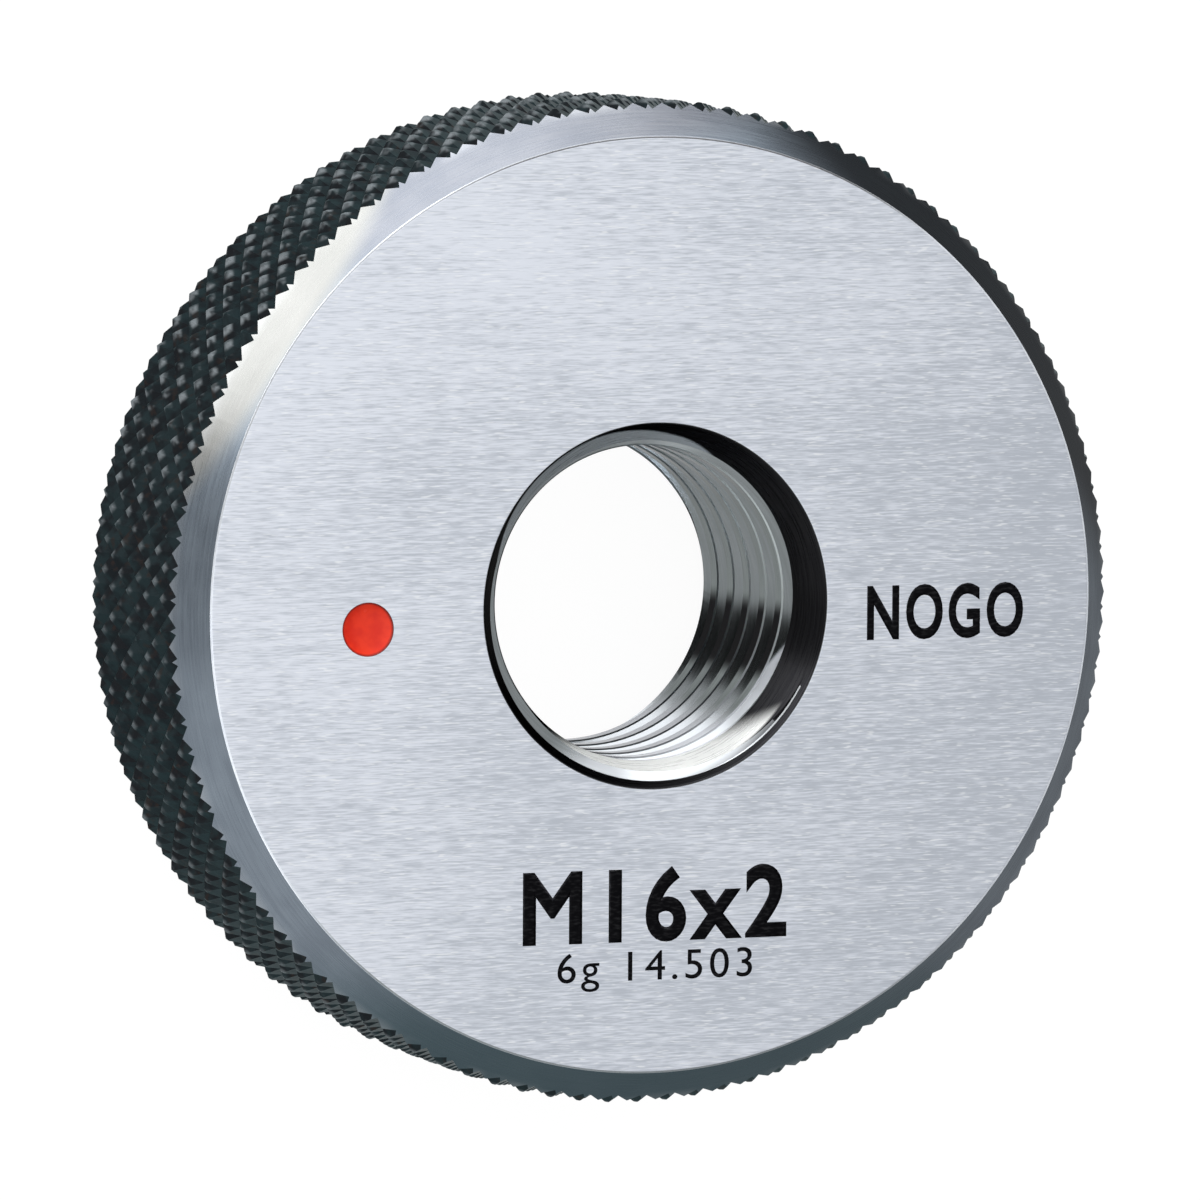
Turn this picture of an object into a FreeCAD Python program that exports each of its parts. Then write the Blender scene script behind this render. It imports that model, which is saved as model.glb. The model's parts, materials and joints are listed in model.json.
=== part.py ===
import FreeCAD, Part
import math
import os
import Sketcher

# Thread ring gauge, M16 x 2, the not-go member of its pair.
# A hardened ring with a bevelled, diamond-knurled rim and a threaded bore.
# A round spot of red enamel on the marked face shows that it is the not-go gauge.
# The ring lies on its back face. The origin is the middle of that face, +Z runs along
# the bore to the marked face, and +X points to the right of someone reading it.

# Driving sizes, in millimetres and degrees
SIZES = [
    ("ring_diameter", 45, "over the points of the knurl"),
    ("ring_thickness", 14, "from the back face to the marked face"),
    ("bevel_width", 1.6, "of the rim's bevels, along the radius"),
    ("bevel_height", 1.7, "of the rim's bevels, along the axis"),
    ("minor_diameter", 14.1, "of the thread, cut back as on a not-go gauge"),
    ("lead_in_width", 1.1, "of the bore's countersinks, along the radius"),
    ("lead_in_angle", 72, "of the countersinks, from side to side"),
    ("knurl_teeth", 102, "diamonds round the rim"),
    ("knurl_depth", 0.4, "from a diamond's point to the crossing of the grooves"),
    ("knurl_angle", 30, "of the grooves to the axis"),
    ("rim_stock", 0.25, "left outside the knurl's points on the turned blank"),
    ("dot_diameter", 2.4, "of the enamel spot"),
    ("dot_reach", 13.6, "from the axis to the spot, to the left"),
    ("dot_drop", 0.7, "of the line of the markings below the axis"),
    ("dot_recess", 0.5, "depth of the spot's pocket"),
    ("dot_rim_drop", 0.04, "of the enamel's rim below the marked face"),
    ("dot_dish", 0.1, "of the enamel's middle below its rim"),
]
ORIGIN = (-1, 1)
X_AXIS = -1
START, END = 1, 2

doc = FreeCAD.newDocument("thread_ring_gauge")


def make_sheet():
    """The spreadsheet that holds every driving size."""
    sheet = doc.addObject("Spreadsheet::Sheet", "sizes")
    for row, (alias, value, note) in enumerate(SIZES, start=1):
        sheet.set(f"A{row}", alias)
        sheet.set(f"B{row}", str(value))
        sheet.set(f"C{row}", note)
        sheet.setAlias(f"B{row}", alias)
    doc.recompute()
    return sheet


def new_body(name, label):
    """An empty body with a name of its own."""
    body = doc.addObject("PartDesign::Body", name)
    body.Label = label
    return body


def new_sketch(body, name, role):
    """A sketch on one of the body's own origin planes."""
    sketch = body.newObject("Sketcher::SketchObject", name)
    plane = next(item for item in body.Origin.OriginFeatures if item.Role == role)
    sketch.AttachmentSupport = (plane, "")
    sketch.MapMode = "FlatFace"
    return sketch


def closed_outline(sketch, corners):
    """Straight lines from corner to corner, joined end to end."""
    points = [FreeCAD.Vector(x, y, 0) for x, y in corners]
    count = len(points)
    for index in range(count):
        sketch.addGeometry(Part.LineSegment(points[index], points[(index + 1) % count]))
    for index in range(count):
        joint = (index, END, (index + 1) % count, START)
        sketch.addConstraint(Sketcher.Constraint("Coincident", *joint))


def bind(sketch, kind, places, value, expression):
    """A dimension between two points, driven by the sheet."""
    index = sketch.addConstraint(Sketcher.Constraint(kind, *places, value))
    sketch.setExpression(f"Constraints[{index}]", expression)


def revolve(body, name, sketch):
    """A full turn of the sketch round its upright axis."""
    turned = body.newObject("PartDesign::Revolution", name)
    turned.Profile = sketch
    turned.ReferenceAxis = (sketch, ["V_Axis"])
    turned.Angle = 360
    sketch.Visibility = False
    return turned


def turned_blank(sheet):
    """The ring as it leaves the lathe, with the pocket for the enamel."""
    body = new_body("TurnedBlank", "turned_blank")
    rim = sheet.ring_diameter / 2
    face = rim - sheet.bevel_width
    bore = sheet.minor_diameter / 2
    mouth = bore + sheet.lead_in_width
    lead = sheet.lead_in_width / math.tan(math.radians(sheet.lead_in_angle / 2))
    top = sheet.ring_thickness
    outer = rim + sheet.rim_stock
    rise = sheet.bevel_height * (1 + sheet.rim_stock / sheet.bevel_width)

    section = new_sketch(body, "HalfSection", "XZ_Plane")
    closed_outline(section, [
        (mouth, 0), (face, 0), (outer, rise), (outer, top - rise),
        (face, top), (mouth, top), (bore, top - lead), (bore, lead),
    ])
    back, low_bevel, side, high_bevel, marked, high_lead, wall, low_lead = range(8)
    for line in (back, marked):
        section.addConstraint(Sketcher.Constraint("Horizontal", line))
    for line in (side, wall):
        section.addConstraint(Sketcher.Constraint("Vertical", line))
    section.addConstraint(Sketcher.Constraint("PointOnObject", back, START, X_AXIS))
    outside = "sizes.bevel_width + sizes.rim_stock"
    slope = "sizes.bevel_height / sizes.bevel_width"
    lead_height = "sizes.lead_in_width / tan(sizes.lead_in_angle * 1deg / 2)"
    bind(section, "DistanceX", (*ORIGIN, side, START), outer,
         "sizes.ring_diameter / 2 + sizes.rim_stock")
    bind(section, "DistanceX", (*ORIGIN, wall, START), bore, "sizes.minor_diameter / 2")
    bind(section, "DistanceY", (back, START, marked, END), top, "sizes.ring_thickness")
    bind(section, "DistanceX", (low_bevel, START, low_bevel, END), outer - face, outside)
    bind(section, "DistanceX", (high_bevel, END, high_bevel, START), outer - face, outside)
    bind(section, "DistanceY", (low_bevel, START, low_bevel, END), rise,
         f"({outside}) * {slope}")
    bind(section, "DistanceY", (high_bevel, START, high_bevel, END), rise,
         f"({outside}) * {slope}")
    bind(section, "DistanceX", (low_lead, START, low_lead, END), mouth - bore,
         "sizes.lead_in_width")
    bind(section, "DistanceX", (high_lead, END, high_lead, START), mouth - bore,
         "sizes.lead_in_width")
    bind(section, "DistanceY", (low_lead, END, low_lead, START), lead, lead_height)
    bind(section, "DistanceY", (high_lead, END, high_lead, START), lead, lead_height)
    revolve(body, "Turning", section)

    spot = new_sketch(body, "SpotOutline", "XY_Plane")
    spot.setExpression("AttachmentOffset.Base.z", "sizes.ring_thickness")
    centre = FreeCAD.Vector(-sheet.dot_reach, -sheet.dot_drop, 0)
    radius = sheet.dot_diameter / 2
    spot.addGeometry(Part.Circle(centre, FreeCAD.Vector(0, 0, 1), radius))
    middle = 3
    bind(spot, "DistanceX", (0, middle, *ORIGIN), sheet.dot_reach, "sizes.dot_reach")
    bind(spot, "DistanceY", (0, middle, *ORIGIN), sheet.dot_drop, "sizes.dot_drop")
    bind(spot, "Diameter", (0,), sheet.dot_diameter, "sizes.dot_diameter")
    pocket = body.newObject("PartDesign::Pocket", "SpotPocket")
    pocket.Profile = spot
    pocket.Type = 0
    pocket.setExpression("Length", "sizes.dot_recess")
    spot.Visibility = False
    body.Tip = pocket
    return body


def knurl_envelope(sheet):
    """A closed many-sided drum whose rim is a net of four-sided points.

    Two families of grooves cross on the rim, leaning opposite ways by the knurl
    angle. Round the rim and along the axis, crossings and points take turns, half
    a pitch apart, and each point has four flats that run down to its crossings.
    """
    point_radius = sheet.ring_diameter / 2
    groove_radius = point_radius - sheet.knurl_depth
    steps = 2 * round(sheet.knurl_teeth)
    turn = 2 * math.pi / steps
    row_gap = turn * point_radius / math.tan(math.radians(sheet.knurl_angle))
    middle = sheet.ring_thickness / 2
    bare_height = sheet.bevel_height * (1 - sheet.knurl_depth / sheet.bevel_width)
    reach = math.ceil((middle - bare_height) / row_gap)

    def spot(step, row):
        radius = point_radius if (step + row) % 2 else groove_radius
        angle = step % steps * turn
        return FreeCAD.Vector(radius * math.cos(angle), radius * math.sin(angle),
                              middle + row * row_gap)

    def flat(*corners):
        return Part.Face(Part.makePolygon([*corners, corners[0]]))

    faces = []
    for step in range(steps):
        for row in range(-reach, reach + 1):
            if (step + row) % 2 == 0:
                continue
            point = spot(step, row)
            left, right = spot(step - 1, row), spot(step + 1, row)
            if row < reach:
                above = spot(step, row + 1)
                faces += [flat(point, right, above), flat(point, above, left)]
            if row > -reach:
                below = spot(step, row - 1)
                faces += [flat(point, left, below), flat(point, below, right)]

    # Plain collars outside the ring's ends, clear of the turned bevels
    end_radius = point_radius + sheet.rim_stock
    end_height = max(reach * row_gap, middle) + row_gap
    for side in (-1, 1):
        ring = [FreeCAD.Vector(end_radius * math.cos(step * turn),
                               end_radius * math.sin(step * turn),
                               middle + side * end_height) for step in range(steps)]
        for step in range(steps):
            first, second = spot(step, side * reach), spot(step + 1, side * reach)
            third, fourth = ring[(step + 1) % steps], ring[step]
            faces += [flat(first, second, third), flat(first, third, fourth)]
        faces.append(flat(*ring))

    shell = Part.makeShell(faces)
    shell.sewShape()
    solid = Part.makeSolid(shell)
    if solid.Volume < 0:
        solid.reverse()
    envelope = doc.addObject("Part::Feature", "KnurlEnvelope")
    envelope.Label = "knurl_envelope"
    envelope.Shape = solid
    envelope.Placement = FreeCAD.Placement()
    return envelope


def gauge_ring(blank, envelope):
    """The finished ring: what the blank and the knurl's envelope share."""
    ring = doc.addObject("Part::MultiCommon", "GaugeRing")
    ring.Label = "gauge_ring"
    ring.Shapes = [blank, envelope]
    return ring


def red_dot(sheet):
    """The enamel in its pocket, with a slightly dished top."""
    body = new_body("RedDot", "red_dot")
    body.setExpression("Placement.Base.x", "-sizes.dot_reach")
    body.setExpression("Placement.Base.y", "-sizes.dot_drop")
    radius = sheet.dot_diameter / 2
    floor = sheet.ring_thickness - sheet.dot_recess
    rim = sheet.ring_thickness - sheet.dot_rim_drop
    middle = rim - sheet.dot_dish

    section = new_sketch(body, "EnamelSection", "XZ_Plane")
    corners = [(0, floor), (radius, floor), (radius, rim), (0, middle)]
    points = [FreeCAD.Vector(x, y, 0) for x, y in corners]
    # The dish is part of a ball that touches the rim and dips by the dish's depth
    ball = (radius ** 2 + sheet.dot_dish ** 2) / (2 * sheet.dot_dish)
    centre = FreeCAD.Vector(0, middle + ball, 0)
    low = math.radians(270)
    high = low + math.asin(radius / ball)
    section.addGeometry([
        Part.LineSegment(points[0], points[1]),
        Part.LineSegment(points[1], points[2]),
        Part.ArcOfCircle(Part.Circle(centre, FreeCAD.Vector(0, 0, 1), ball), low, high),
        Part.LineSegment(points[3], points[0]),
    ])
    base, wall, dish, axis = range(4)
    section.addConstraint([
        Sketcher.Constraint("Coincident", base, END, wall, START),
        Sketcher.Constraint("Coincident", wall, END, dish, END),
        Sketcher.Constraint("Coincident", dish, START, axis, START),
        Sketcher.Constraint("Coincident", axis, END, base, START),
        Sketcher.Constraint("Horizontal", base),
        Sketcher.Constraint("Vertical", wall),
        Sketcher.Constraint("PointOnObject", axis, START, -2),
        Sketcher.Constraint("PointOnObject", axis, END, -2),
        Sketcher.Constraint("PointOnObject", dish, 3, -2),
    ])
    bind(section, "DistanceX", (base, START, base, END), radius, "sizes.dot_diameter / 2")
    bind(section, "DistanceY", (*ORIGIN, base, START), floor,
         "sizes.ring_thickness - sizes.dot_recess")
    bind(section, "DistanceY", (wall, START, wall, END), rim - floor,
         "sizes.dot_recess - sizes.dot_rim_drop")
    bind(section, "DistanceY", (dish, START, dish, END), sheet.dot_dish, "sizes.dot_dish")
    revolve(body, "EnamelTurning", section)
    return body


def check(objects):
    """Stop if any object failed or any sub-part isn't one sound solid."""
    for item in doc.Objects:
        if "Invalid" in item.State or "Error" in item.State:
            raise RuntimeError(f"{item.Label} failed: {item.State}")
    for item in objects:
        shape = item.Shape
        if shape.isNull() or not shape.isValid() or len(shape.Solids) != 1:
            raise RuntimeError(f"{item.Label} isn't one valid solid")


def main():
    sheet = make_sheet()
    blank = turned_blank(sheet)
    doc.recompute()
    envelope = knurl_envelope(sheet)
    ring = gauge_ring(blank, envelope)
    dot = red_dot(sheet)
    doc.recompute()
    check([ring, dot])
    os.makedirs("parts", exist_ok=True)
    for item in (ring, dot):
        item.Shape.exportStep(f"parts/{item.Label}.step")
        box = item.Shape.BoundBox
        print(item.Label, "volume", round(item.Shape.Volume, 2), "faces", len(item.Shape.Faces),
              "size", round(box.XLength, 3), round(box.YLength, 3), round(box.ZLength, 3))


main()
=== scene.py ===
import json
import math

import bmesh
import bpy
from mathutils import Matrix, Vector


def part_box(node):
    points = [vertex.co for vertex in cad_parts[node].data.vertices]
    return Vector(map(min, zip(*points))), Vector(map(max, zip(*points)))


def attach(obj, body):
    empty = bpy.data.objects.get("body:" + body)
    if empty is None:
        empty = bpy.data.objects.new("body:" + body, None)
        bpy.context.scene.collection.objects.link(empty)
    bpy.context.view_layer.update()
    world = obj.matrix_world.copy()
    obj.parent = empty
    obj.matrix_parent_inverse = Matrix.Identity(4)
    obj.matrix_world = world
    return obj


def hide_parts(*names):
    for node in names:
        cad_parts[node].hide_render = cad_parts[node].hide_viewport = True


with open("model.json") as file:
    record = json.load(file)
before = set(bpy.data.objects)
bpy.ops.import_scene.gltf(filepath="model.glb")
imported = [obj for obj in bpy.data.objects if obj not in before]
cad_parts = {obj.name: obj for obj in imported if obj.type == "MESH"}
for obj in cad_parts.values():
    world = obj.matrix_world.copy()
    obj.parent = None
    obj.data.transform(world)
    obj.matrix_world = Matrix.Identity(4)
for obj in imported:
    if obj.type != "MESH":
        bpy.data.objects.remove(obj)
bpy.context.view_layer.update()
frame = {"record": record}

# Lengths are in metres. The ring lies on its back face, with the marked face up.
MM = 0.001
MOUNTS = {mount["name"]: mount for mount in frame["record"]["mounts"]}
_, RING_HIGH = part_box("gauge_ring")
SPOT_LOW, SPOT_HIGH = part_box("red_dot")
RIM = RING_HIGH.x
TOP = RING_HIGH.z

# The turned blank, with its facets turned off the knurl's own lines, so that no edges fall together
BEVEL_WIDTH = 1.6 * MM
BEVEL_HEIGHT = 1.7 * MM
FACE_RADIUS = RIM - BEVEL_WIDTH
EDGE_BREAK = 0.05 * MM
EDGE_POINTS = 3
STOCK = 0.3 * MM
TURNING_STEPS = 204
FACET_TURN = 0.3 * math.pi / TURNING_STEPS

# The knurl: rows of four-sided points, each row half a pitch on from the last
TEETH = 102
KNURL_ROWS = 11
KNURL_DEPTH = 0.4 * MM
KNURL_ANGLE = math.radians(30)
BLUNT = 0.15
ROUNDING = 0.04 * MM
DRUM_OVERHANG = 2 * MM

# The thread, M16 x 2, with the crests cut back as on a not-go gauge
PITCH = 2 * MM
PITCH_RADIUS = 7.25 * MM
ROOT_RADIUS = 8.0 * MM
CREST_RADIUS = MOUNTS["threaded_bore"]["dims"]["r_mm"] * MM
MOUTH_RADIUS = CREST_RADIUS + 1.1 * MM
LEAD_IN_DEPTH = (TOP - MOUNTS["threaded_bore"]["dims"]["length_mm"] * MM) / 2
FLANK = math.radians(30)
CREST_BREAK = 0.07 * MM
ROOT_ROUNDING = 0.05 * MM
CUTTER_REACH = 0.2 * MM
THREAD_TURNS = 10
THREAD_STEPS = 102
THREAD_PHASE = math.radians(171)

# The enamel spot and its pocket
SPOT_RADIUS = (SPOT_HIGH.x - SPOT_LOW.x) / 2
SPOT_X = (SPOT_HIGH.x + SPOT_LOW.x) / 2
SPOT_Y = (SPOT_HIGH.y + SPOT_LOW.y) / 2
SPOT_DISH = 0.1 * MM
SPOT_STEPS = 96
SPOT_RINGS = 12
ENAMEL_GAP = 0.004 * MM

# The words on the face: name, words, centre, width and height, extra weight of the strokes
MARK_PROUD = 0.008 * MM
LETTER_SPACING = 1.18
LETTER_STEPS = 6
MARKINGS = [
    ("word_nogo", "NOGO", (13.92 * MM, -0.56 * MM), (7.6 * MM, 2.5 * MM), 0.030),
    ("word_thread_size", "M16x2", (0.03 * MM, -13.35 * MM), (12.6 * MM, 3.4 * MM), 0.028),
    ("word_limit_size", "6g 14.503", (0.04 * MM, -16.3 * MM), (9.3 * MM, 1.75 * MM), 0.0),
]

# How near a face's centre lies to a surface that it belongs to
NEAR_FACE = 0.001 * MM
NEAR_WALL = 0.004 * MM
NEAR_BEVEL = 0.016 * MM
NEAR_LEAD_IN = 0.024 * MM

# How near two corners lie that are one, and the bends up to which a surface is shaded smooth
WELD = 0.002 * MM
SMOOTH_ANGLE = math.radians(12)
ENAMEL_SMOOTH_ANGLE = math.radians(40)

# The floor, and how far and how brightly it glows by itself where it is seen
FLOOR_SIZE = 4
FLOOR_LEVEL = -0.02 * MM
FLOOR_GLOW = 0.9
GLOW_STRENGTH = 1.06

# The light: the dome's own level, what each soft box adds and what the flag takes away
DOME = 0.45
OVERHEAD = 1.25
BEHIND = 1.5
BESIDE = 0.85
FAR_BESIDE = 0.95
LOW = 8
FLAG = 0.98

# The camera stands where the photograph was taken from
CAMERA_BACK = Vector((-0.3517, 0.0835, 0.9324))
CAMERA_UP = Vector((0.0242, 0.9965, -0.0801))
CAMERA_DISTANCE = 463 * MM
CAMERA_LENS = 307.6
CAMERA_SENSOR = 36
CAMERA_SHIFT = (-0.0009, -0.0053)
CAMERA_NEAR = 10 * MM


# Modelling helpers

def deselect():
    """Leaves nothing selected, so that an operator acts on its own piece only."""
    bpy.ops.object.select_all(action="DESELECT")


def pick(piece):
    """Selects one piece alone."""
    deselect()
    piece.select_set(True)
    bpy.context.view_layer.objects.active = piece


def edit(piece):
    """Opens one piece in edit mode with all of it selected."""
    pick(piece)
    bpy.context.tool_settings.mesh_select_mode = (True, False, False)
    bpy.ops.object.mode_set(mode="EDIT")
    bpy.ops.mesh.select_all(action="SELECT")


def close_edit():
    """Goes back to object mode."""
    bpy.ops.object.mode_set(mode="OBJECT")


def select_where(piece, kind, wanted):
    """In edit mode, selects the vertices, edges or faces that fit a test."""
    bpy.ops.mesh.select_all(action="DESELECT")
    bpy.context.tool_settings.mesh_select_mode = (kind == "VERT", kind == "EDGE", kind == "FACE")
    mesh = bmesh.from_edit_mesh(piece.data)
    items = {"VERT": mesh.verts, "EDGE": mesh.edges, "FACE": mesh.faces}[kind]
    for item in items:
        item.select_set(wanted(item))
    mesh.select_flush_mode()
    bmesh.update_edit_mesh(piece.data)


def newest(name):
    """Names what an operator has just added."""
    piece = bpy.context.active_object
    piece.name = name
    if piece.data:
        piece.data.name = name
    return piece


def apply_place(piece):
    """Moves a piece's place into its mesh."""
    pick(piece)
    bpy.ops.object.transform_apply(location=True, rotation=True, scale=True)


def apply_modifiers(piece):
    """Makes a piece's modifiers part of its mesh."""
    pick(piece)
    for modifier in list(piece.modifiers):
        bpy.ops.object.modifier_apply(modifier=modifier.name)


def outward(piece):
    """Welds a piece's doubles, drops loose edges and turns its faces outwards."""
    edit(piece)
    bpy.ops.mesh.remove_doubles(threshold=WELD)
    bpy.ops.mesh.delete_loose()
    bpy.ops.mesh.select_all(action="SELECT")
    bpy.ops.mesh.normals_make_consistent(inside=False)
    close_edit()


def smooth(piece, angle):
    """Shades curved faces smooth and keeps true edges crisp."""
    pick(piece)
    bpy.ops.object.shade_smooth_by_angle(angle=angle)
    weighted = piece.modifiers.new("Even shine", "WEIGHTED_NORMAL")
    weighted.keep_sharp = True
    apply_modifiers(piece)


def drawn_outline(name, outline):
    """A closed outline in the XZ plane, drawn from corner to corner."""
    deselect()
    bpy.ops.mesh.primitive_plane_add(size=MM, location=(0, 0, 0))
    piece = newest(name)
    edit(piece)
    bpy.ops.mesh.merge(type="CENTER")
    corners = [Vector((radius, 0, height)) for radius, height in outline]
    bpy.ops.transform.translate(value=corners[0])
    for last, corner in zip(corners, corners[1:]):
        bpy.ops.mesh.extrude_region_move(TRANSFORM_OT_translate={"value": corner - last})
    bpy.ops.mesh.select_all(action="SELECT")
    bpy.ops.mesh.edge_face_add()
    bpy.ops.mesh.delete(type="ONLY_FACE")
    close_edit()
    return piece


def turned(name, outline, steps=TURNING_STEPS, centre=(0, 0, 0)):
    """A piece turned round an upright axis from its half section."""
    piece = drawn_outline(name, outline)
    edit(piece)
    bpy.ops.mesh.spin(steps=steps, angle=2 * math.pi, center=(0, 0, 0), axis=(0, 0, 1))
    bpy.ops.mesh.select_all(action="SELECT")
    bpy.ops.transform.translate(value=centre)
    close_edit()
    outward(piece)
    return piece


def combine(piece, tool, operation):
    """Cuts or trims a piece by another, which is used up."""
    modifier = piece.modifiers.new(operation.title(), "BOOLEAN")
    modifier.operation = operation
    modifier.object = tool
    modifier.solver = "EXACT"
    apply_modifiers(piece)
    bpy.data.objects.remove(tool)


def broken_corner(before, corner, after, size):
    """A rounded corner of an outline, with a point on each side that keeps the shine flat."""
    corner = Vector(corner)
    towards = (Vector(before) - corner).normalized()
    onwards = (Vector(after) - corner).normalized()
    start = corner + towards * size
    end = corner + onwards * size
    arc = [tuple(corner + towards * size * 2)]
    for index in range(EDGE_POINTS + 1):
        along = index / EDGE_POINTS
        near = start.lerp(corner, along)
        far = corner.lerp(end, along)
        arc.append(tuple(near.lerp(far, along)))
    arc.append(tuple(corner + onwards * size * 2))
    return arc


# The ring

def turned_blank():
    """The ring before knurling, with the edges of its faces and mouths lightly broken."""
    outer = RIM + STOCK
    rise = BEVEL_HEIGHT * (1 + STOCK / BEVEL_WIDTH)
    corners = [
        (CREST_RADIUS, LEAD_IN_DEPTH), (MOUTH_RADIUS, 0), (FACE_RADIUS, 0), (outer, rise),
        (outer, TOP - rise), (FACE_RADIUS, TOP), (MOUTH_RADIUS, TOP),
        (CREST_RADIUS, TOP - LEAD_IN_DEPTH),
    ]
    outline = []
    for index, corner in enumerate(corners):
        before, after = corners[index - 1], corners[(index + 1) % len(corners)]
        if corner[0] in (FACE_RADIUS, MOUTH_RADIUS):
            outline += broken_corner(before, corner, after, EDGE_BREAK)
        else:
            outline.append(corner)
    blank = turned("gauge_ring_body", outline)
    edit(blank)
    bpy.ops.transform.rotate(value=FACET_TURN, orient_axis="Z", center_override=(0, 0, 0))
    close_edit()
    return blank


def thread_cutter():
    """The helical groove between the thread's crests, as a tool to cut with."""
    def half_width(radius):
        return PITCH / 4 - (radius - PITCH_RADIUS) * math.tan(FLANK)
    edge = CREST_RADIUS + CREST_BREAK
    deep = ROOT_RADIUS - ROOT_ROUNDING
    flare = half_width(edge) + CUTTER_REACH
    lower = [
        (edge - CUTTER_REACH, -flare), (edge, -half_width(edge)), (deep, -half_width(deep)),
        (ROOT_RADIUS, -half_width(ROOT_RADIUS) / 2),
    ]
    outline = lower + [(radius, -height) for radius, height in reversed(lower)]
    piece = drawn_outline("thread_cutter", outline)
    start = (TOP - THREAD_TURNS * PITCH) / 2 + THREAD_PHASE / (2 * math.pi) * PITCH
    edit(piece)
    bpy.ops.transform.translate(value=(0, 0, start))
    close_edit()
    screw = piece.modifiers.new("Screw", "SCREW")
    screw.screw_offset = PITCH
    screw.iterations = THREAD_TURNS
    screw.steps = THREAD_STEPS
    screw.render_steps = THREAD_STEPS
    screw.axis = "Z"
    screw.use_smooth_shade = False
    apply_modifiers(piece)
    # Both ends of the helix are closed
    edit(piece)
    bpy.ops.mesh.select_all(action="DESELECT")
    bpy.ops.mesh.select_non_manifold(extend=False)
    bpy.ops.mesh.edge_face_add()
    close_edit()
    outward(piece)
    return piece


def knurl_point():
    """One blunt four-sided point of the knurl, lying on the rim at +X."""
    half_turn = math.pi / TEETH
    row_gap = half_turn * RIM / math.tan(KNURL_ANGLE)
    groove_radius = RIM - KNURL_DEPTH
    half_width = groove_radius * math.sin(half_turn)
    deselect()
    bpy.ops.mesh.primitive_cone_add(vertices=4, radius1=MM, radius2=BLUNT * MM,
                                    depth=KNURL_DEPTH, end_fill_type="NGON")
    piece = newest("knurl_point")
    edit(piece)
    bpy.ops.transform.rotate(value=-math.pi / 2, orient_axis="Y", center_override=(0, 0, 0))
    bpy.ops.transform.resize(value=(1, half_width / MM, row_gap / MM),
                             center_override=(0, 0, 0))
    bpy.ops.transform.translate(value=(groove_radius + KNURL_DEPTH / 2, 0, 0))
    # The base is left open, so that the points join into one skin
    select_where(piece, "FACE", lambda face: face.normal.x < 0)
    bpy.ops.mesh.delete(type="ONLY_FACE")
    # The side corners follow the rim's curve, so that neighbours meet
    select_where(piece, "VERT", lambda corner: abs(corner.co.y) > half_width / 2)
    bpy.ops.transform.translate(value=(groove_radius * (math.cos(half_turn) - 1), 0, 0))
    # The blunt end's edges are rounded
    middle = RIM - KNURL_DEPTH / 2
    select_where(piece, "EDGE", lambda edge: min(end.co.x for end in edge.verts) > middle)
    bpy.ops.mesh.bevel(offset=ROUNDING, segments=2)
    close_edit()
    return piece, row_gap


def row_column(point, row_gap, rows, turn):
    """A copy of the point, repeated up the rim every second row and turned into place."""
    column = point.copy()
    column.data = point.data.copy()
    bpy.context.collection.objects.link(column)
    column.location.z = TOP / 2 - (rows - 1) * row_gap
    column.rotation_euler.z = turn
    apply_place(column)
    repeat = column.modifiers.new("Rows", "ARRAY")
    repeat.count = rows
    repeat.use_relative_offset = False
    repeat.use_constant_offset = True
    repeat.constant_offset_displace = (0, 0, 2 * row_gap)
    apply_modifiers(column)
    return column


def knurled_drum():
    """A closed drum whose rim is all knurl, to trim the turned blank with."""
    point, row_gap = knurl_point()
    rows_between = KNURL_ROWS // 2
    drum = row_column(point, row_gap, KNURL_ROWS - rows_between, 0)
    between = row_column(point, row_gap, rows_between, math.pi / TEETH)
    bpy.data.objects.remove(point)
    pick(drum)
    between.select_set(True)
    bpy.ops.object.join()
    bpy.ops.object.empty_add(rotation=(0, 0, 2 * math.pi / TEETH))
    turn = newest("knurl_turn")
    repeat = drum.modifiers.new("Round", "ARRAY")
    repeat.count = TEETH
    repeat.use_relative_offset = False
    repeat.use_object_offset = True
    repeat.offset_object = turn
    apply_modifiers(drum)
    bpy.data.objects.remove(turn)
    edit(drum)
    bpy.ops.mesh.remove_doubles(threshold=WELD)
    # Each open end is drawn out flat beyond the ring's face and closed
    for end, beyond in ((-1, -DRUM_OVERHANG), (1, TOP + DRUM_OVERHANG)):
        select_where(drum, "EDGE", lambda edge: edge.is_boundary
                     and (edge.verts[0].co.z - TOP / 2) * end > 0)
        bpy.ops.mesh.extrude_edges_move()
        bpy.ops.transform.resize(value=(1, 1, 0), center_override=(0, 0, beyond))
        bpy.ops.mesh.edge_face_add()
    close_edit()
    outward(drum)
    return drum


def spot_pocket():
    """The tool that sinks the pocket of the enamel spot."""
    outline = [(0, SPOT_LOW.z), (SPOT_RADIUS, SPOT_LOW.z), (SPOT_RADIUS, TOP + MM), (0, TOP + MM)]
    return turned("spot_pocket", outline, SPOT_STEPS, (SPOT_X, SPOT_Y, 0))


def gauge_ring(finishes):
    """The ring: turned, threaded and pocketed, then trimmed by the knurl."""
    ring = turned_blank()
    combine(ring, thread_cutter(), "DIFFERENCE")
    combine(ring, spot_pocket(), "DIFFERENCE")
    combine(ring, knurled_drum(), "INTERSECT")
    outward(ring)
    for finish in finishes.values():
        ring.data.materials.append(finish)
    places = list(finishes)
    for face in ring.data.polygons:
        face.material_index = places.index(region(face.center))
    smooth(ring, SMOOTH_ANGLE)
    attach(ring, "root")
    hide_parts("gauge_ring")


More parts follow.
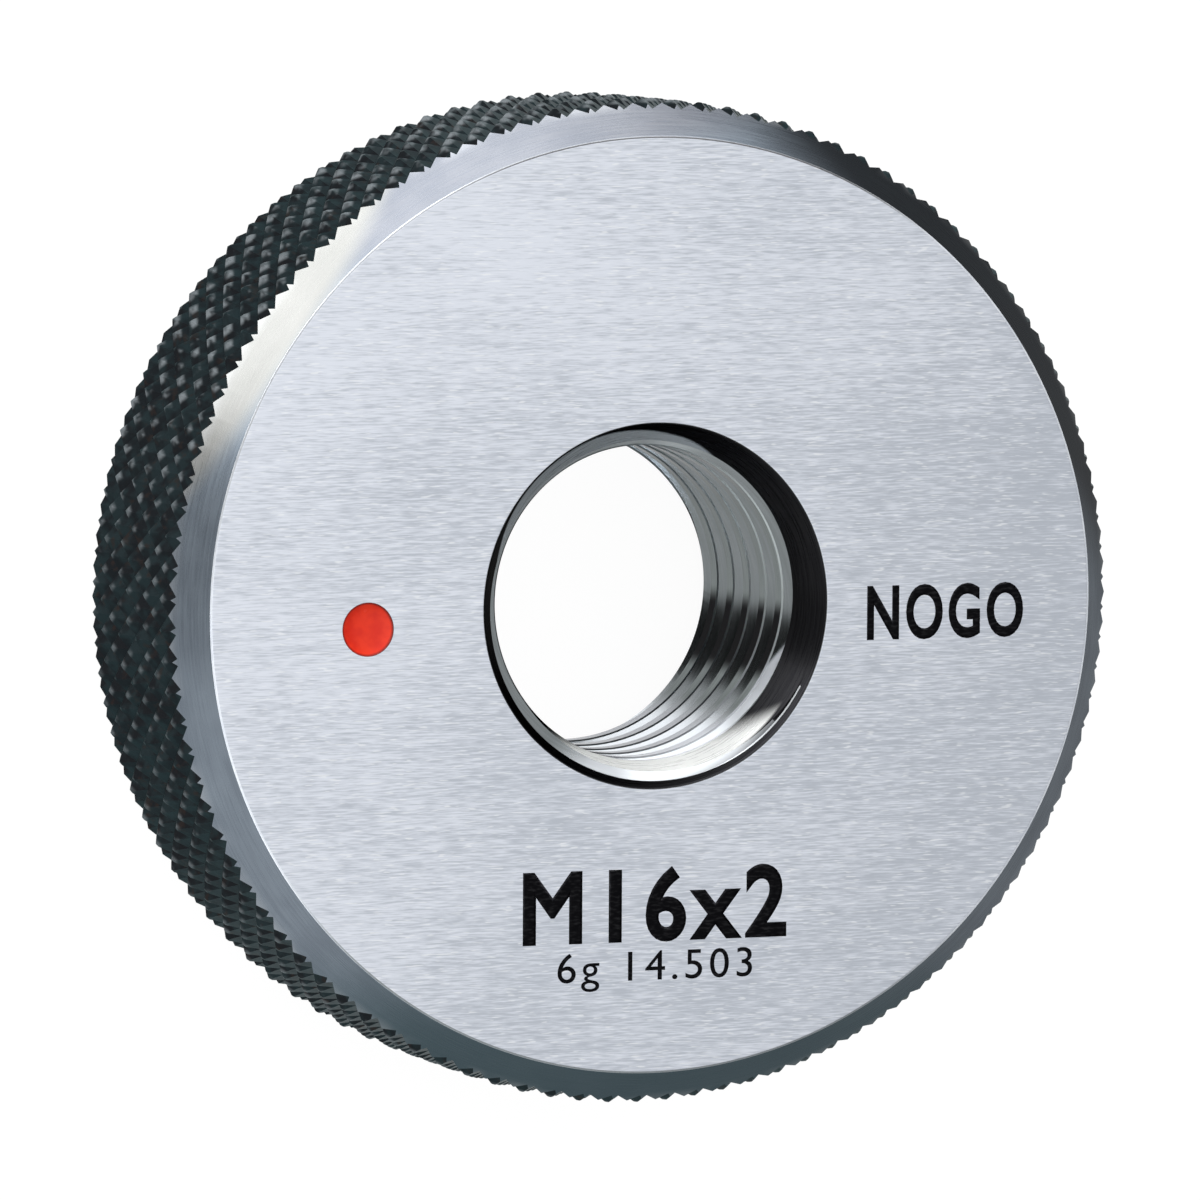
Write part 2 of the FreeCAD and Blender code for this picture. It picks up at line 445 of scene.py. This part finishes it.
def region(centre):
    """Names the part of the ring that a face with this centre belongs to."""
    radius = math.hypot(centre.x, centre.y)
    depth = min(centre.z, TOP - centre.z)
    from_spot = math.hypot(centre.x - SPOT_X, centre.y - SPOT_Y)
    in_spot = SPOT_LOW.z - NEAR_WALL < centre.z < TOP - NEAR_WALL
    if in_spot and from_spot < SPOT_RADIUS + NEAR_WALL:
        return "pocket"
    if depth < NEAR_FACE:
        return "ground"
    if math.hypot(radius - FACE_RADIUS, depth) < EDGE_BREAK:
        return "edge"
    if radius > FACE_RADIUS:
        bevel_radius = FACE_RADIUS + depth * BEVEL_WIDTH / BEVEL_HEIGHT
        return "bevel" if abs(radius - bevel_radius) < NEAR_BEVEL else "knurl"
    if radius < CREST_RADIUS + NEAR_WALL:
        return "crest"
    cone_radius = MOUTH_RADIUS - depth * (MOUTH_RADIUS - CREST_RADIUS) / LEAD_IN_DEPTH
    if abs(radius - cone_radius) < NEAR_LEAD_IN:
        return "lead_in"
    return "crest_edge" if radius < CREST_RADIUS + CREST_BREAK else "thread"


def enamel_spot(finish):
    """Red enamel in its pocket, standing up a little where it wets the wall."""
    edge = SPOT_RADIUS - ENAMEL_GAP
    base = SPOT_LOW.z + ENAMEL_GAP
    outline = [(0, base), (edge, base), (edge, SPOT_HIGH.z)]
    # The rings crowd towards the wall, where the surface turns up, and the middle is the lowest
    crowding = 1.6
    steepness = 6
    fall_at_wall = 0.75
    for index in range(1, SPOT_RINGS + 1):
        along = index / SPOT_RINGS
        reach = edge * (1 - along ** crowding)
        depth = fall_at_wall + (1 - fall_at_wall) * along
        fall = SPOT_DISH * (1 - (reach / edge) ** steepness) * depth
        outline.append((reach, SPOT_HIGH.z - fall))
    spot = turned("enamel_spot", outline, SPOT_STEPS, (SPOT_X, SPOT_Y, 0))
    spot.data.materials.append(finish)
    smooth(spot, ENAMEL_SMOOTH_ANGLE)
    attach(spot, "root")
    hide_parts("red_dot")


def marking(name, words, centre, size, weight, finish):
    """A line of black marking on the face, fitted to its width and height."""
    deselect()
    bpy.ops.object.text_add(location=(0, 0, 0))
    letters = newest(name).data
    letters.body = words
    letters.space_character = LETTER_SPACING
    letters.bevel_depth = weight
    letters.bevel_resolution = 0
    letters.extrude = MARK_PROUD
    letters.resolution_u = LETTER_STEPS
    bpy.ops.object.convert(target="MESH")
    piece = newest(name)
    low = [min(corner.co[axis] for corner in piece.data.vertices) for axis in range(3)]
    high = [max(corner.co[axis] for corner in piece.data.vertices) for axis in range(3)]
    middle = (Vector(low) + Vector(high)) / 2
    edit(piece)
    bpy.ops.transform.translate(value=-middle)
    scale = [wanted / (high[axis] - low[axis])
             for axis, wanted in enumerate((*size, 2 * MARK_PROUD))]
    bpy.ops.transform.resize(value=scale, center_override=(0, 0, 0))
    bpy.ops.transform.translate(value=(centre[0], centre[1], TOP))
    close_edit()
    outward(piece)
    piece.data.materials.append(finish)
    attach(piece, "root")


# Shader maths

class Value:
    """What leaves a node, for use in ordinary expressions."""

    def __init__(self, nodes, socket):
        self.nodes = nodes
        self.socket = socket

    def maths(self, operation, first, second):
        return self.nodes.add("ShaderNodeMath", {"operation": operation}, {0: first, 1: second})

    def __add__(self, other):
        return self.maths("ADD", self, other)

    def __radd__(self, other):
        return self.maths("ADD", other, self)

    def __sub__(self, other):
        return self.maths("SUBTRACT", self, other)

    def __rsub__(self, other):
        return self.maths("SUBTRACT", other, self)

    def __mul__(self, other):
        return self.maths("MULTIPLY", self, other)

    def __rmul__(self, other):
        return self.maths("MULTIPLY", other, self)

    def rise(self, low, high):
        """Goes smoothly from 0 at low to 1 at high."""
        return self.nodes.add("ShaderNodeMapRange", {"interpolation_type": "SMOOTHSTEP"},
                              {"Value": self, "From Min": low, "From Max": high})


class Nodes:
    """A node tree, with one way to add any node to it."""

    def __init__(self, tree):
        self.tree = tree

    def add(self, kind, settings, sockets, output=0):
        """Adds a node with its settings first, and then what goes into its sockets."""
        node = self.tree.nodes.new(kind)
        for name, value in settings.items():
            setattr(node, name, value)
        for name, value in sockets.items():
            self.put(node.inputs[name], value)
        return Value(self, node.outputs[output])

    def put(self, socket, value):
        """Links a value to a socket, or sets the socket to a number or colour."""
        if isinstance(value, Value):
            self.tree.links.new(value.socket, socket)
        else:
            socket.default_value = value

    def along(self, place, way):
        """How far a place lies in a direction."""
        return self.add("ShaderNodeVectorMath", {"operation": "DOT_PRODUCT"},
                        {0: place, 1: way}, "Value")

    def stretched(self, place, across):
        """The place with each axis multiplied, to draw a pattern out along one of them."""
        return self.add("ShaderNodeVectorMath", {"operation": "MULTIPLY"}, {0: place, 1: across})

    def reach(self, place):
        """How far a place lies from an upright axis."""
        flat = self.stretched(place, (1, 1, 0))
        return self.add("ShaderNodeVectorMath", {"operation": "LENGTH"}, {0: flat}, "Value")

    def blend(self, share, first, second):
        """A colour between two others, which are the Mix node's sockets 6 and 7 and output 2."""
        return self.add("ShaderNodeMix", {"data_type": "RGBA"}, {0: share, 6: first, 7: second}, 2)

    def bump(self, height, strength, distance):
        """Small relief in the shine."""
        return self.add("ShaderNodeBump", {},
                        {"Height": height, "Strength": strength, "Distance": distance})


class Finish(Nodes):
    """A material with its Principled shader."""

    def __init__(self, name):
        self.material = bpy.data.materials.new(name)
        self.material.use_nodes = True
        super().__init__(self.material.node_tree)
        self.shader = self.tree.nodes["Principled BSDF"]
        self.place = self.add("ShaderNodeTexCoord", {}, {}, "Object")

    def set(self, **sockets):
        """Puts values into the shader's sockets and gives the finished material."""
        for name, value in sockets.items():
            self.put(self.shader.inputs[name.replace("_", " ").title()], value)
        return self.material

    def pattern(self, fineness, detail=2.0, roughness=0.5):
        """Noise, as fine along each axis as the three numbers say."""
        return self.add("ShaderNodeTexNoise", {},
                        {"Vector": self.stretched(self.place, fineness), "Scale": 1.0,
                         "Detail": detail, "Roughness": roughness})

    def towards(self, way):
        """How far a place lies from the bore's axis in a direction across the face."""
        return self.along(self.place, (*way, 0))

    def side(self, way, radius, start, full):
        """Goes from 0 to 1 towards one side of the ring, between two shares of a radius."""
        return self.towards(way).rise(start * radius, full * radius)

    def height(self):
        """How far a place lies above the back face."""
        return self.along(self.place, (0, 0, 1))

    def radius(self):
        """How far a place lies from the bore's axis."""
        return self.reach(self.place)


# Finishes

def colour(red, green, blue):
    return (red, green, blue, 1)


def ground_steel():
    """A surface-ground face: short straight streaks and a few small flecks."""
    finish = Finish("ground_steel")
    streaks = finish.pattern((1000, 13000, 1000), 2.0, 0.55)
    drifts = finish.pattern((260, 3600, 260), 1.0)
    clouds = finish.pattern((70, 110, 70), 1.0)
    flecks = finish.pattern((1900, 15000, 900), 0.0).rise(0.66, 0.8)
    # The face is painted a little paler on its upper left, as painted light
    painted_light_slant = finish.towards((-0.8, 0.5)) * (0.07 / RIM)
    share = streaks * 0.6 + drifts * 0.2 + clouds * 0.2 + painted_light_slant
    steel = finish.blend(share.rise(0.36, 0.64),
                         colour(0.485, 0.52, 0.58), colour(0.725, 0.76, 0.83))
    bright = finish.blend(flecks * 0.55, steel, colour(0.88, 0.90, 0.92))
    return finish.set(base_color=bright, metallic=1.0, roughness=0.3 + streaks * 0.12,
                      normal=finish.bump(streaks, 0.15, 0.003 * MM))


def bright_edge():
    """The broken edges round the faces, bright from handling, with painted shade on the upper left,
    at the crown and at the foot.
    """
    finish = Finish("bright_edge")
    wear = finish.pattern((600, 600, 600), 2.0)
    steel = finish.blend(wear.rise(0.3, 0.7), colour(0.78, 0.83, 0.91), colour(0.88, 0.92, 0.98))
    # Painted shade: the edge is painted darker on its upper left, at its crown and at its foot
    shade_painted_upper_left = finish.side((-0.4, 0.92), RIM, 0.3, 0.7)
    crown = finish.side((0.05, 1), RIM, 0.76, 0.88)
    foot = finish.side((-0.1, -1), RIM, 0.55, 0.8)
    upper = finish.blend(shade_painted_upper_left, steel, colour(0.43, 0.45, 0.475))
    crown_shaded = finish.blend(crown, upper, colour(0.15, 0.155, 0.165))
    return finish.set(base_color=finish.blend(foot, crown_shaded, colour(0.30, 0.33, 0.35)),
                      metallic=1.0, roughness=0.3 + wear * 0.2)


def turned_dark_steel():
    """The rim bevels: fine marks round the ring under a blue-grey film.

    The colour is painted paler and cream on the upper left as a painted reflection, and darker at
    the foot and on the upper right as painted shade.
    """
    finish = Finish("turned_dark_steel")
    marks = finish.pattern((350, 350, 16000), 3.0, 0.6)
    stains = finish.pattern((420, 420, 900), 2.0)
    share = (marks * 0.6 + stains * 0.4).rise(0.3, 0.7)
    grey = finish.blend(share, colour(0.078, 0.092, 0.110), colour(0.114, 0.134, 0.156))
    pale = finish.blend(share, colour(0.074, 0.080, 0.093), colour(0.100, 0.105, 0.117))
    cream = finish.blend(share, colour(0.118, 0.120, 0.116), colour(0.142, 0.143, 0.139))
    # Painted reflection on the upper left, and painted shade at the foot and on the upper right
    bevel_light_painted_upper = finish.side((-0.34, 0.94), RIM, 0.78, 0.90)
    bevel_light_painted_upper_left = finish.side((-0.82, 0.57), RIM, 0.90, 0.94)
    bevel_shade_painted_foot = finish.side((0, -1), RIM, 0.62, 0.86)
    bevel_shade_painted_upper_right = finish.side((0.77, 0.64), RIM, 0.72, 0.88)
    light = finish.blend(bevel_light_painted_upper_left, finish.blend(bevel_light_painted_upper, grey, pale), cream)
    # Painted shade at the foot and on the upper right
    film = finish.blend(bevel_shade_painted_foot * 0.8, light, colour(0.036, 0.059, 0.068))
    dark = finish.blend(bevel_shade_painted_upper_right * 0.92, film, colour(0.012, 0.014, 0.016))
    # Wear with painted glints: brighter in patches along the knurl's edge
    wear_and_glints = finish.radius().rise(RIM - 0.6 * MM, RIM - 0.1 * MM) * stains.rise(0.4, 0.6)
    return finish.set(base_color=finish.blend(wear_and_glints * 0.25, dark, colour(0.28, 0.29, 0.30)),
                      metallic=1.0, roughness=0.2 + marks * 0.16,
                      specular_tint=colour(0.6, 0.6, 0.6),
                      normal=finish.bump(marks, 0.2, 0.006 * MM))


def blackened_knurl():
    """The knurl: black oxide with a blue-green and brown bloom, grey with wear and painted glints
    on the points.
    """
    finish = Finish("blackened_knurl")
    bloom = finish.pattern((830, 830, 830), 2.0, 0.6)
    rust = finish.pattern((1300, 1300, 1300), 2.0, 0.6)
    rub = finish.pattern((1150, 1150, 1150), 2.0)
    grain = finish.pattern((6000, 6000, 6000), 2.0)
    teal = finish.blend(bloom.rise(0.4, 0.62),
                        colour(0.012, 0.012, 0.014), colour(0.018, 0.026, 0.029))
    brown = finish.blend(rust.rise(0.57, 0.7) * 0.6, teal, colour(0.030, 0.019, 0.016))
    # The grey of the points reaches further down and is brighter on the upper left, as painted
    # glints
    upper = finish.side((-0.57, 0.82), RIM, 0.55, 0.95)
    points = (finish.radius() + upper * (0.09 * MM)).rise(RIM - 0.14 * MM, RIM - 0.005 * MM)
    # Wear on the points, with painted glints
    wear_and_glints = points * rub.rise(0.40, 0.64) * (0.5 + upper * 0.5)
    return finish.set(base_color=finish.blend(wear_and_glints, brown, colour(0.21, 0.23, 0.245)),
                      metallic=0.9, roughness=0.28 + grain * 0.14,
                      specular_tint=colour(0.42, 0.475, 0.485),
                      normal=finish.bump(grain, 0.3, 0.01 * MM))


def blackened_lead_in():
    """The countersinks at both mouths: black, with a painted grey and a painted bright reflection
    on two sides within.
    """
    finish = Finish("blackened_lead_in")
    marks = finish.pattern((400, 400, 14000), 3.0, 0.6)
    black = finish.blend(marks.rise(0.35, 0.7),
                         colour(0.008, 0.008, 0.009), colour(0.013, 0.013, 0.014))
    lean = finish.side((-0.82, 0.57), MOUTH_RADIUS, 0.4, 0.9)
    upper = finish.side((-0.37, 0.93), MOUTH_RADIUS, 0.35, 0.92)
    lit_side = finish.side((0.9, -0.44), MOUTH_RADIUS, 0.5, 0.9)
    low_side = finish.towards((0.03, -1))
    lower = low_side.rise(0.28 * MOUTH_RADIUS, 0.5 * MOUTH_RADIUS)
    # The black narrows to an outer band where the inner part is painted with reflection
    reach = finish.radius() - lean * (0.38 * MM) + (1 - upper - lower) * (0.8 * MM)
    inner = reach.rise(MOUTH_RADIUS - 0.38 * MM, MOUTH_RADIUS - 0.48 * MM)
    # The painted bright reflection runs further round near the black band than near the thread
    reflection_reach = low_side + (finish.radius() - CREST_RADIUS)
    painted_white_reflection = (inner * reflection_reach.rise(0.74 * CREST_RADIUS, 0.95 * CREST_RADIUS)
                * (1 - lit_side * 0.4))
    # Painted reflection: grey on the upper side and bright low down, within the black
    painted_reflection = inner * upper.rise(0, 0.2)
    grey = finish.blend(painted_reflection * (0.75 + marks * 0.25), black, colour(0.40, 0.44, 0.47))
    bright = finish.blend(painted_white_reflection, grey, colour(0.64, 0.65, 0.64))
    return finish.set(base_color=bright, metallic=1.0 - painted_reflection * 0.5 - painted_white_reflection * 0.6,
                      roughness=0.22 + marks * 0.12, specular_tint=colour(0.35, 0.35, 0.35),
                      normal=finish.bump(marks, 0.08, 0.005 * MM))


def lapped_thread():
    """The thread's flanks: lapped bright steel with fine marks and a painted bright reflection low
    down and on the mouth's side, dark where it runs out.
    """
    finish = Finish("lapped_thread")
    marks = finish.pattern((260, 260, 15000), 3.0, 0.6)
    haze = finish.pattern((500, 500, 500), 2.0)
    steel = finish.blend((marks * 0.7 + haze * 0.3).rise(0.3, 0.7),
                         colour(0.38, 0.42, 0.43), colour(0.46, 0.50, 0.52))
    # Painted reflection: the flanks are painted bright low down and, in the first turn, on the
    # mouth's side
    first_turn = finish.height().rise(TOP - 3.4 * MM, TOP - 2.6 * MM)
    low_side = finish.side((0.15, -0.99), CREST_RADIUS, 0.72, 0.98)
    mouth_side = finish.side((0.77, -0.64), CREST_RADIUS, 0.96, 0.99)
    painted_reflection = low_side * 0.6 + mouth_side * first_turn * 0.9 * (1 - low_side)
    bright = finish.blend(painted_reflection, steel, colour(0.84, 0.87, 0.92))
    run_out = finish.height().rise(TOP - 0.8 * MM, TOP - 0.3 * MM)
    darker = finish.blend(run_out, bright, colour(0.08, 0.085, 0.09))
    return finish.set(base_color=darker, metallic=1.0 - painted_reflection * 0.7, roughness=0.1 + marks * 0.1,
                      normal=finish.bump(marks, 0.15, 0.004 * MM))


def lapped_crest():
    """The thread's crests: grey, with a painted black band of shade on one side and a painted
    bright reflection low down.
    """
    finish = Finish("lapped_crest")
    marks = finish.pattern((300, 300, 12000), 2.0, 0.6)
    grey = finish.blend(marks.rise(0.3, 0.7), colour(0.20, 0.225, 0.225), colour(0.27, 0.30, 0.30))
    # Painted reflection low down, and a painted black band of shade on one side
    painted_reflection = finish.side((-0.087, -0.996), CREST_RADIUS, 0.62, 0.84)
    bright = finish.blend(painted_reflection, grey, colour(0.82, 0.85, 0.92))
    painted_dark_band = finish.side((0.957, -0.290), CREST_RADIUS, 0.958, 0.986)
    return finish.set(base_color=finish.blend(painted_dark_band, bright, colour(0.010, 0.010, 0.011)),
                      metallic=1.0 - painted_reflection * 0.5, roughness=0.16 + marks * 0.1,
                      specular_tint=colour(0.5, 0.5, 0.5))


def painted_shade_crest_edge():
    """The broken edges of the crests, painted dark as a thin line of shade and painted paler on one
    side.
    """
    finish = Finish("painted_shade_crest_edge")
    marks = finish.pattern((500, 500, 500), 2.0)
    # Painted shade as a thin dark line, painted paler on one side
    dark = finish.blend(marks.rise(0.3, 0.7), colour(0.11, 0.115, 0.125), colour(0.17, 0.18, 0.19))
    painted_reflection = finish.side((0.5, 0.87), CREST_RADIUS, 0.05, 0.5)
    return finish.set(base_color=finish.blend(painted_reflection, dark, colour(0.30, 0.33, 0.335)),
                      metallic=1.0, roughness=0.3 + marks * 0.1,
                      specular_tint=colour(0.4, 0.4, 0.4))


def red_enamel():
    """Glossy red enamel, a little uneven, and darker where it meets the steel."""
    finish = Finish("red_enamel")
    centred = finish.add("ShaderNodeVectorMath", {"operation": "SUBTRACT"},
                         {0: finish.place, 1: (SPOT_X, SPOT_Y, 0)})
    near_wall = finish.reach(centred).rise(SPOT_RADIUS - 0.14 * MM, SPOT_RADIUS - 0.02 * MM)
    patches = finish.pattern((1500, 1500, 1500), 2.0)
    red = finish.blend(patches.rise(0.35, 0.65),
                       colour(0.60, 0.017, 0.004), colour(0.68, 0.028, 0.006))
    finish.put(finish.shader.inputs["Specular IOR Level"], 0.25)
    darker = finish.blend(near_wall * 0.85, red, colour(0.13, 0.010, 0.006))
    return finish.set(base_color=darker, roughness=0.2 + patches * 0.1,
                      normal=finish.bump(patches, 0.1, 0.02 * MM))


def black_marking():
    """The black of the etched words, slightly thin in places."""
    finish = Finish("black_marking")
    thin = finish.pattern((2500, 9000, 2500), 2.0)
    ink = finish.blend(thin.rise(0.45, 0.75),
                       colour(0.005, 0.005, 0.006), colour(0.02, 0.02, 0.022))
    return finish.set(base_color=ink, metallic=1.0, roughness=0.42 + thin * 0.16,
                      specular_tint=colour(0.4, 0.4, 0.4),
                      normal=finish.bump(thin, 0.1, 0.005 * MM))


# Floor, light and camera

def pale_floor():
    """A plain pale floor that keeps the ring's shadow and stays white behind it."""
    deselect()
    bpy.ops.mesh.primitive_plane_add(size=FLOOR_SIZE, location=(0, 0, FLOOR_LEVEL))
    floor = newest("floor")
    apply_place(floor)
    finish = Finish("floor_white")
    tone = finish.pattern((6, 6, 6), 1.0)
    finish.set(base_color=finish.blend(tone, colour(0.86, 0.86, 0.86), colour(0.88, 0.88, 0.88)),
               roughness=0.8)
    seen = [finish.add("ShaderNodeLightPath", {}, {}, name)
            for name in ("Is Camera Ray", "Is Glossy Ray", "Is Transmission Ray")]
    share = (seen[0] + seen[1] + seen[2]) * FLOOR_GLOW
    glow = finish.add("ShaderNodeEmission", {},
                      {"Color": colour(1, 1, 1), "Strength": GLOW_STRENGTH})
    plain = Value(finish, finish.shader.outputs[0])
    mixed = finish.add("ShaderNodeMixShader", {}, {0: share, 1: plain, 2: glow})
    finish.put(finish.tree.nodes["Material Output"].inputs["Surface"], mixed)
    floor.data.materials.append(finish.material)


def studio_light():
    """A dim plain dome with soft boxes overhead, behind the ring, beside it and low round it.

    A flag darkens one patch of the dome, overhead on the camera's side.
    """
    world = bpy.data.worlds.new("studio")
    world.use_nodes = True
    bpy.context.scene.world = world
    nodes = Nodes(world.node_tree)
    way = nodes.add("ShaderNodeTexCoord", {}, {}, "Generated")
    across, onward, height = [nodes.add("ShaderNodeSeparateXYZ", {}, {0: way}, axis)
                              for axis in "XYZ"]
    bearing = nodes.add("ShaderNodeMath", {"operation": "ARCTAN2"}, {0: onward, 1: across})

    def patch(middle, edge, full):
        """A round patch of the dome, soft between two angles from its middle."""
        near = nodes.along(way, Vector(middle).normalized())
        return near.rise(math.cos(math.radians(edge)), math.cos(math.radians(full)))

    overhead = patch((-0.05, 0.06, 1), 34, 8) * OVERHEAD
    behind = patch((0.05, 0.73, 0.66), 27, 14) * BEHIND
    flag = patch((-0.59, 0.21, 0.78), 18, 12) * FLAG
    left = nodes.along(way, (-0.75, -0.66, 0))
    wall = left.rise(0.25, 0.5) * BESIDE + left.rise(0.76, 0.92) * FAR_BESIDE
    beside = wall * height.rise(0.52, 0.40)
    # The low arc stands round the far side, between two bearings
    start = bearing.rise(math.radians(42), math.radians(68))
    end = bearing.rise(math.radians(156), math.radians(153))
    low = start * end * height.rise(0.42, 0.34) * LOW
    level = (DOME + overhead + behind + beside + low) * (1 - flag)
    background = world.node_tree.nodes["Background"]
    nodes.put(background.inputs["Color"], colour(1, 1, 1))
    nodes.put(background.inputs["Strength"], level)


def camera():
    """The camera, where the photograph was taken from."""
    lens = bpy.data.cameras.new("camera")
    lens.lens = CAMERA_LENS
    lens.sensor_width = CAMERA_SENSOR
    lens.shift_x, lens.shift_y = CAMERA_SHIFT
    lens.clip_start = CAMERA_NEAR
    back = CAMERA_BACK.normalized()
    right = CAMERA_UP.cross(back).normalized()
    up = back.cross(right)
    turn = Matrix((right, up, back)).transposed().to_4x4()
    eye = bpy.data.objects.new("camera", lens)
    eye.matrix_world = Matrix.Translation(Vector((0, 0, TOP / 2)) + back * CAMERA_DISTANCE) @ turn
    bpy.context.collection.objects.link(eye)
    bpy.context.scene.camera = eye


def main():
    black_skin = blackened_lead_in()
    gauge_ring({
        "ground": ground_steel(),
        "edge": bright_edge(),
        "bevel": turned_dark_steel(),
        "knurl": blackened_knurl(),
        "lead_in": black_skin,
        "thread": lapped_thread(),
        "crest": lapped_crest(),
        "crest_edge": painted_shade_crest_edge(),
        "pocket": black_skin,
    })
    enamel_spot(red_enamel())
    black = black_marking()
    for name, words, centre, size, weight in MARKINGS:
        marking(name, words, centre, size, weight, black)
    pale_floor()
    studio_light()
    camera()
    bpy.context.scene.view_settings.view_transform = "Standard"


main()
